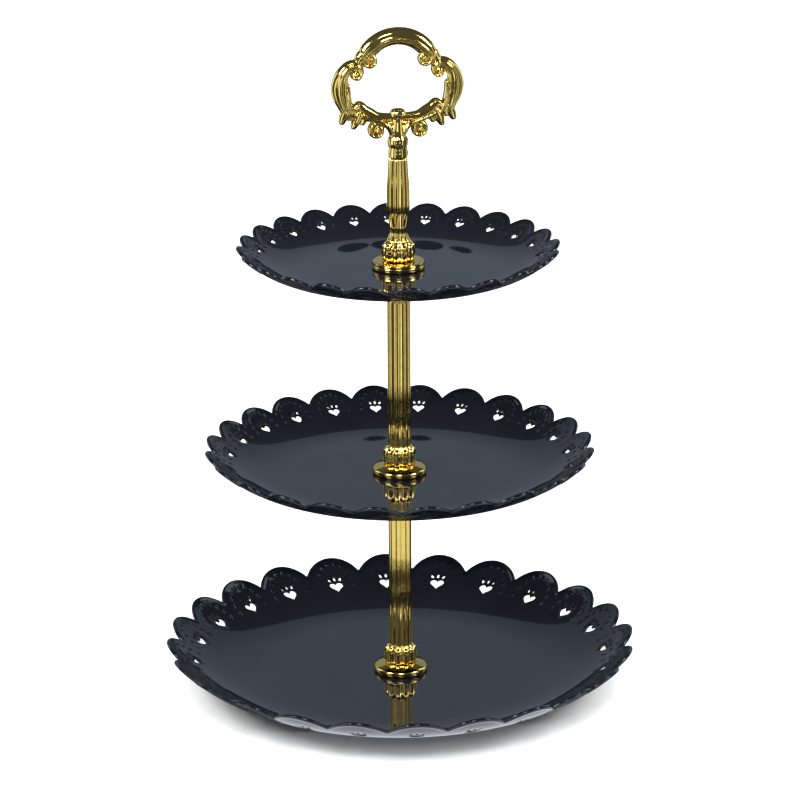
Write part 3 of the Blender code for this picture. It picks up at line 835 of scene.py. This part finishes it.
def spiral(centre, start_radius, end_radius, start, turns, wide, deep, thin=0.7, count=13):
    """Points of a volute winding in; angles in degrees from +X, turns are signed."""
    out = []
    for i in range(count):
        t = i / (count - 1)
        radius = start_radius + (end_radius - start_radius) * t * t
        angle = radians(start + 360.0 * turns * t)
        share = 1.0 - (1.0 - thin) * t
        out.append((centre[0] + radius * cos(angle), centre[1] + radius * sin(angle),
                    wide * share, deep * share))
    return out


def arch_points():
    """The arch from its top to its right end, which curls into a volute."""
    top = [(ARCH_RADIUS * sin(radians(a)), ARCH_MIDDLE + ARCH_RADIUS * cos(radians(a)), 4.9, 4.3)
           for a in (0, 12, 24, 36, 46)]
    curl = [(17.6, 57.7, 3.9, 4.1), (18.7, 55.6, 2.4, 4.0)]
    return top + curl + spiral(ARCH_EYE, 3.3, 0.9, -10.0, -1.1, 1.45, 4.0)


def neck(patch):
    """The turned neck with its two swellings, faintly ribbed like the stem below it."""
    around = 80
    bore, depth, top, rows = 2.4, 8.0, 23.5, 95
    turns = [tau * i / around for i in range(around)]
    rings = [patch.add([(MM * bore * cos(a), MM * bore * sin(a), MM * h) for a in turns])
             for h in (depth, 0.0)]
    for k in range(rows):
        height = top * k / (rows - 1)
        ring = []
        for a in turns:
            radius = along(NECK, height) - 0.35 * (1.0 - groove(a)) * smooth(13.0 - height, 0.0, 4.0)
            ring.append((MM * radius * cos(a), MM * radius * sin(a), MM * height))
        rings.append(patch.add(ring))
    patch.skin(rings)
    patch.cap(rings[0], (0.0, 0.0, depth * MM))
    patch.cap(rings[-1], (0.0, 0.0, 24.6 * MM))


def mirrored(patch, make):
    """Adds a piece and its mirror image across the YZ plane."""
    for side in (1.0, -1.0):
        half = Patch()
        make(half)
        base = patch.add([(side * x, y, z) for x, y, z in half.points])
        for face in half.faces:
            turned = face if side > 0 else tuple(reversed(face))
            patch.faces.append(tuple(base[i] for i in turned))


def ring_patches():
    """Every bar and knob of the ring, each a closed skin of its own."""
    makers = [lambda p: bar(p, arch_points(), ridges=4, depth=0.13, start=0.36, outer=-1),
              lambda p: bar(p, JOINT),
              lambda p: bar(p, LOBE, ridges=3.5, depth=0.17, start=0.28, outer=-1),
              lambda p: bar(p, STRAND),
              lambda p: bar(p, SWEEP, ridges=2, depth=0.14, start=0.30, outer=1),
              lambda p: bar(p, BRANCH),
              lambda p: egg(p, 4.9, 19.4, 2.3, 3.2),
              lambda p: bar(p, spiral(FOOT_EYE, 4.0, 1.2, 118.0, -1.35, 1.35, 4.0, thin=0.8)),
              lambda p: egg(p, *FOOT_EYE, 1.6, 4.4),
              lambda p: egg(p, *FOOT_EYE, 4.2, 2.8),
              lambda p: egg(p, *ARCH_EYE, 1.2, 4.4),
              lambda p: egg(p, *ARCH_EYE, 3.4, 2.9),
              lambda p: egg(p, *LOBE_EYE, 1.2, 4.0),
              lambda p: egg(p, *LOBE_EYE, 3.2, 2.7)]
    makers += [lambda p, leaf=leaf: bar(p, leaf, ridges=1, depth=0.08, start=0.2) for leaf in LEAVES]
    patches = [Patch() for _ in makers]
    for patch, make in zip(patches, makers):
        mirrored(patch, make)
    middle, stem = Patch(), Patch()
    bar(middle, KNOB)
    neck(stem)
    return patches + [middle, stem]


def cast(patches, name, height, voxel, smoothing):
    """Fuses closed skins into one casting with soft inner corners."""
    whole = Patch()
    for patch in patches:
        base = whole.add([(x, y, z + height) for x, y, z in patch.points])
        whole.faces += [tuple(base[i] for i in face) for face in patch.faces]
    rough = bpy.data.objects.new(f"{name}_rough", whole.mesh(f"{name}_rough", weld=1e-7))
    bpy.context.scene.collection.objects.link(rough)
    remesh = rough.modifiers.new("fuse", "REMESH")
    remesh.mode = "VOXEL"
    remesh.voxel_size = voxel
    soften = rough.modifiers.new("soften", "SMOOTH")
    soften.factor = 0.5
    soften.iterations = smoothing
    bpy.context.view_layer.update()
    graph = bpy.context.evaluated_depsgraph_get()
    mesh = bpy.data.meshes.new_from_object(rough.evaluated_get(graph))
    bpy.data.objects.remove(rough, do_unlink=True)
    mesh.name = name
    mesh.materials.clear()
    mesh.shade_smooth()
    return mesh


def make_ring(look):
    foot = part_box("handle_ring")[0].z
    mesh = cast(ring_patches(), "handle_ring_cast", foot, CAST_VOXEL, 3)
    add_piece("handle_ring_cast", mesh, look, "handle", "post_gold", "handle_ring")


# Materials

def new_material(name):
    material = bpy.data.materials.new(name)
    material.use_nodes = True
    nodes = material.node_tree.nodes
    return material, nodes, material.node_tree.links, nodes["Principled BSDF"]


def noise(nodes, links, scale, detail, roughness=0.5):
    """A noise pattern fixed to the object, in metres."""
    texture = nodes.new("ShaderNodeTexNoise")
    texture.inputs["Scale"].default_value = scale
    texture.inputs["Detail"].default_value = detail
    texture.inputs["Roughness"].default_value = roughness
    place = nodes.new("ShaderNodeTexCoord")
    links.new(place.outputs["Object"], texture.inputs["Vector"])
    return texture.outputs["Fac"]


def ramp(nodes, links, source, stops):
    """Maps a pattern through colour stops of (place, value or colour)."""
    curve = nodes.new("ShaderNodeValToRGB")
    elements = curve.color_ramp.elements
    while len(elements) < len(stops):
        elements.new(0.5)
    for element, (place, value) in zip(elements, stops):
        element.position = place
        colour = value if isinstance(value, tuple) else (value, value, value)
        element.color = (*colour, 1.0)
    links.new(source, curve.inputs["Fac"])
    return curve.outputs["Color"]


def bump(nodes, links, shader, source, strength, distance):
    relief = nodes.new("ShaderNodeBump")
    relief.inputs["Strength"].default_value = strength
    relief.inputs["Distance"].default_value = distance
    links.new(source, relief.inputs["Height"])
    links.new(relief.outputs["Normal"], shader.inputs["Normal"])


def gloss_black():
    """Moulded plastic: near-black navy, polished, with faint flow marks and sink."""
    material, nodes, links, shader = new_material("gloss_black")
    tone = ramp(nodes, links, noise(nodes, links, 35.0, 3.0),
                [(0.3, (0.0032, 0.0036, 0.0062)), (0.7, (0.0048, 0.0052, 0.0086))])
    links.new(tone, shader.inputs["Base Color"])
    finish = ramp(nodes, links, noise(nodes, links, 160.0, 5.0, 0.65), [(0.35, 0.035), (0.75, 0.075)])
    links.new(finish, shader.inputs["Roughness"])
    shader.inputs["IOR"].default_value = 1.53
    bump(nodes, links, shader, noise(nodes, links, 55.0, 1.0), 0.05, 0.0006)
    return material


def plated_gold():
    """Bright brass plating over a casting: mirror-like, with faint ripples and deeper colour in places."""
    material, nodes, links, shader = new_material("plated_gold")
    tone = ramp(nodes, links, noise(nodes, links, 120.0, 4.0, 0.6),
                [(0.3, (0.84, 0.60, 0.15)), (0.7, (0.95, 0.74, 0.24))])
    links.new(tone, shader.inputs["Base Color"])
    shader.inputs["Metallic"].default_value = 1.0
    finish = ramp(nodes, links, noise(nodes, links, 420.0, 5.0, 0.7), [(0.3, 0.07), (0.8, 0.16)])
    links.new(finish, shader.inputs["Roughness"])
    bump(nodes, links, shader, noise(nodes, links, 260.0, 2.0), 0.10, 0.0004)
    return material


def zinc_steel():
    """Zinc-plated steel with fine turning marks."""
    material, nodes, links, shader = new_material("zinc_steel")
    tone = ramp(nodes, links, noise(nodes, links, 300.0, 4.0),
                [(0.3, (0.50, 0.51, 0.52)), (0.7, (0.66, 0.66, 0.65))])
    links.new(tone, shader.inputs["Base Color"])
    shader.inputs["Metallic"].default_value = 1.0
    finish = ramp(nodes, links, noise(nodes, links, 900.0, 4.0), [(0.3, 0.24), (0.8, 0.42)])
    links.new(finish, shader.inputs["Roughness"])
    turned = nodes.new("ShaderNodeTexWave")
    turned.bands_direction = "Z"
    turned.inputs["Scale"].default_value = 900.0
    place = nodes.new("ShaderNodeTexCoord")
    links.new(place.outputs["Object"], turned.inputs["Vector"])
    bump(nodes, links, shader, turned.outputs["Fac"], 0.25, 0.00008)
    return material


def soft_rubber():
    """A dull dark washer with a fine skin."""
    material, nodes, links, shader = new_material("soft_rubber")
    tone = ramp(nodes, links, noise(nodes, links, 500.0, 3.0),
                [(0.3, (0.018, 0.018, 0.019)), (0.7, (0.035, 0.035, 0.036))])
    links.new(tone, shader.inputs["Base Color"])
    finish = ramp(nodes, links, noise(nodes, links, 1500.0, 3.0), [(0.3, 0.55), (0.8, 0.78)])
    links.new(finish, shader.inputs["Roughness"])
    bump(nodes, links, shader, noise(nodes, links, 2500.0, 2.0), 0.35, 0.00005)
    return material


# Studio

STAND_MIDDLE = (0.0, 0.0, 0.2)
FLOOR_GAP = 0.0002
FLOOR_RADII = (0.1, 0.3, 1.0, 3.0, 8.0)
DOME_RADIUS = 7.9
WASH_HEIGHT = 3.2
PANEL_TINTS = [(0.2, (0.84, 0.91, 1.0)), (0.8, (0.90, 0.95, 1.0))]
SKY_TINTS = [(0.2, (0.68, 0.81, 1.0)), (0.8, (0.74, 0.86, 1.0))]
# panels: name, azimuth from the front, distance, height, width, length, radiance, slope
PANELS = (("left_panel", -60.0, 0.42, 0.0, 0.15, 0.42, 1.6, 90.0),
          ("right_panel", 46.0, 0.42, 0.0, 0.12, 0.42, 1.4, 90.0),
          ("far_left_panel", -122.0, 0.50, 0.0, 0.22, 0.55, 1.4, 90.0),
          ("far_right_panel", 112.0, 0.50, 0.0, 0.20, 0.55, 1.4, 90.0),
          ("front_panel", -14.0, 0.60, 0.23, 0.22, 0.12, 1.7, 90.0),
          ("near_floor_panel", -6.0, 0.07, 0.0, 0.60, 0.33, 1.0, 1.0))
# soft lights: name, size, place, power
CARDS = (("left_card", (0.5, 0.5), (-1.2, -0.6, 1.2), 16.0),
         ("right_card", (0.4, 0.5), (1.2, -0.7, 1.1), 12.0),
         ("front_card", (0.5, 0.25), (-0.2, -1.4, 1.5), 8.0))


def card(name, size, place, aim, power):
    """A soft light."""
    data = bpy.data.lights.new(name, "AREA")
    data.shape = "RECTANGLE"
    data.size, data.size_y = size
    data.energy = power
    light = bpy.data.objects.new(name, data)
    light.location = place
    light.rotation_euler = (Vector(aim) - Vector(place)).to_track_quat("-Z", "Y").to_euler()
    bpy.context.scene.collection.objects.link(light)
    return light


def pale(name, colour, roughness):
    material, nodes, links, shader = new_material(name)
    tone = ramp(nodes, links, noise(nodes, links, 3.0, 2.0),
                [(0.3, tuple(0.985 * c for c in colour)), (0.7, colour)])
    links.new(tone, shader.inputs["Base Color"])
    shader.inputs["Roughness"].default_value = roughness
    return material


def glowing(name, radiance, tints):
    material, nodes, links, shader = new_material(name)
    nodes.remove(shader)
    glow = nodes.new("ShaderNodeEmission")
    glow.inputs["Strength"].default_value = radiance
    links.new(ramp(nodes, links, noise(nodes, links, 2.0, 1.0), tints), glow.inputs["Color"])
    links.new(glow.outputs["Emission"], nodes["Material Output"].inputs["Surface"])
    return material


def stage_piece(name, patch, look, unseen, height=0.0):
    """Puts a part of the studio in place; unseen lists the kinds of ray that pass it by."""
    mesh = patch.mesh(name)
    mesh.materials.append(look)
    obj = bpy.data.objects.new(name, mesh)
    obj.location.z = height
    for ray in unseen:
        setattr(obj, f"visible_{ray}", False)
    bpy.context.scene.collection.objects.link(obj)
    obj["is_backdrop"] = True


def circle(radius, height):
    return [(radius * cos(tau * i / 48), radius * sin(tau * i / 48), height) for i in range(48)]


def panel(name, base, size, turn, radiance, slope=90.0, tints=PANEL_TINTS):
    """A panel that only shows in polished surfaces; turn is its azimuth, 90 degrees stands upright."""
    wide, high = size
    patch = Patch()
    across = Vector((cos(turn), sin(turn), 0.0)) * wide / 2.0
    away = Vector((-sin(turn), cos(turn), 0.0)) * -cos(radians(slope)) * high
    up = Vector((0.0, 0.0, sin(radians(slope)) * high))
    rows = []
    for k in range(5):
        middle = Vector(base) + (away + up) * k / 4.0
        rows.append(patch.add([middle - across, middle + across]))
    patch.skin(rows, closed=False)
    stage_piece(name, patch, glowing(name, radiance, tints), ("camera", "diffuse", "shadow"))


def backdrop():
    """A pale dome far behind everything, seen only past the edge of the floor."""
    patch = Patch()
    rings = []
    for k in range(12):
        rise = radians(90.0 * k / 12.0)
        rings.append(patch.add(circle(DOME_RADIUS * cos(rise), DOME_RADIUS * sin(rise))))
    patch.skin(rings)
    patch.cap(rings[-1], (0.0, 0.0, DOME_RADIUS))
    stage_piece("backdrop", patch, glowing("backdrop", 1.0, PANEL_TINTS), ("glossy", "diffuse", "shadow"))


def studio_floor():
    patch = Patch()
    rings = [patch.add(circle(radius, 0.0)) for radius in FLOOR_RADII]
    patch.skin(rings)
    patch.cap(rings[0], (0.0, 0.0, 0.0))
    stage_piece("floor", patch, pale("pale_floor", (0.92, 0.92, 0.92), 0.6), ("glossy",),
                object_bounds()[0][2] - FLOOR_GAP)


def studio():
    """A wide pale floor under broad soft light, with panels that shape the reflections."""
    studio_floor()
    world = bpy.data.worlds.new("studio")
    bpy.context.scene.world = world
    world.use_nodes = True
    sky = world.node_tree.nodes["Background"]
    sky.inputs["Color"].default_value = (0.86, 0.93, 1.0, 1.0)
    sky.inputs["Strength"].default_value = 0.08
    backdrop()
    wash = card("wash", (12.0, 12.0), (0.0, 0.0, WASH_HEIGHT), (0.0, 0.0, 0.0), 1250.0)
    wash.visible_glossy = False
    panel("back_panel", (0.0, 1.1, 0.12), (2.6, 0.75), 0.0, 0.36, tints=SKY_TINTS)
    for name, azimuth, distance, height, wide, high, radiance, slope in PANELS:
        turn = radians(azimuth)
        base = (distance * sin(turn), -distance * cos(turn), height)
        panel(name, base, (wide, high), turn, radiance, slope)
    for name, size, place, power in CARDS:
        card(name, size, place, STAND_MIDDLE, power)
    bpy.context.scene.view_settings.view_transform = "Standard"


# The stand

def dress_nodes(look, *nodes):
    """Gives CAD nodes that stay as they are a finished material."""
    for node in nodes:
        obj = frame["nodes"][node]
        obj.data.materials.clear()
        obj.data.materials.append(look)


def build():
    black, gold, steel, rubber = gloss_black(), plated_gold(), zinc_steel(), soft_rubber()
    for name, body in (("bottom_plate", "base"), ("middle_plate", "middle_tier"), ("top_plate", "top_tier")):
        make_plate(name, black, body)
    bottom, middle, top = (FLOORS[name] for name in ("bottom_plate", "middle_plate", "top_plate"))
    for node, floor_height, body in (("lower_rod", bottom, "post"), ("upper_rod", middle, "upper_post")):
        low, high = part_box(node)
        foot, head = low.z - floor_height, high.z - floor_height
        collar = head - COLLAR_DROP
        ribbed_post(f"{node}_ribbed", floor_height, foot, head, lambda a, h: rod_radius(a, h, collar),
                    ((BORE_RADIUS, BORE_DEPTH), (BORE_RADIUS, 0.012)), gold, body, "post_gold", node)
    low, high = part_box("handle_stem")
    ribbed_post("handle_stem_ribbed", top, low.z - top, high.z - top, stem_radius,
                ((BORE_RADIUS, BORE_DEPTH), (0.0024, 0.008)), gold, "handle", "post_gold", "handle_stem")
    lathe("lower_flange_domed", bottom, flange_profile(), gold, "post", "post_gold", "lower_flange")
    lathe("upper_flange_domed", middle, flange_profile(), gold, "upper_collar", "post_gold", "upper_flange")
    lathe("handle_disc_turned", top, disc_profile(), gold, "handle_collar", "post_gold", "handle_disc")
    make_ring(gold)
    washers = (("lower_gasket", bottom, "post"), ("middle_gasket", middle, "upper_collar"),
               ("upper_gasket", top, "handle_collar"), ("middle_pad", bottom, "post"),
               ("upper_pad", middle, "upper_post"))
    for node, height, body in washers:
        lathe(f"{node}_soft", height, ring_profile(node, height), rubber, body, "soft_washer", node)
    lathe("base_washer_turned", bottom, ring_profile("base_washer", bottom), steel, "post",
          "fastener_steel", "base_washer")
    dress_nodes(steel, "base_screw", "lower_stud", "upper_stud", "ring_stud")


place_camera()
build()
studio()
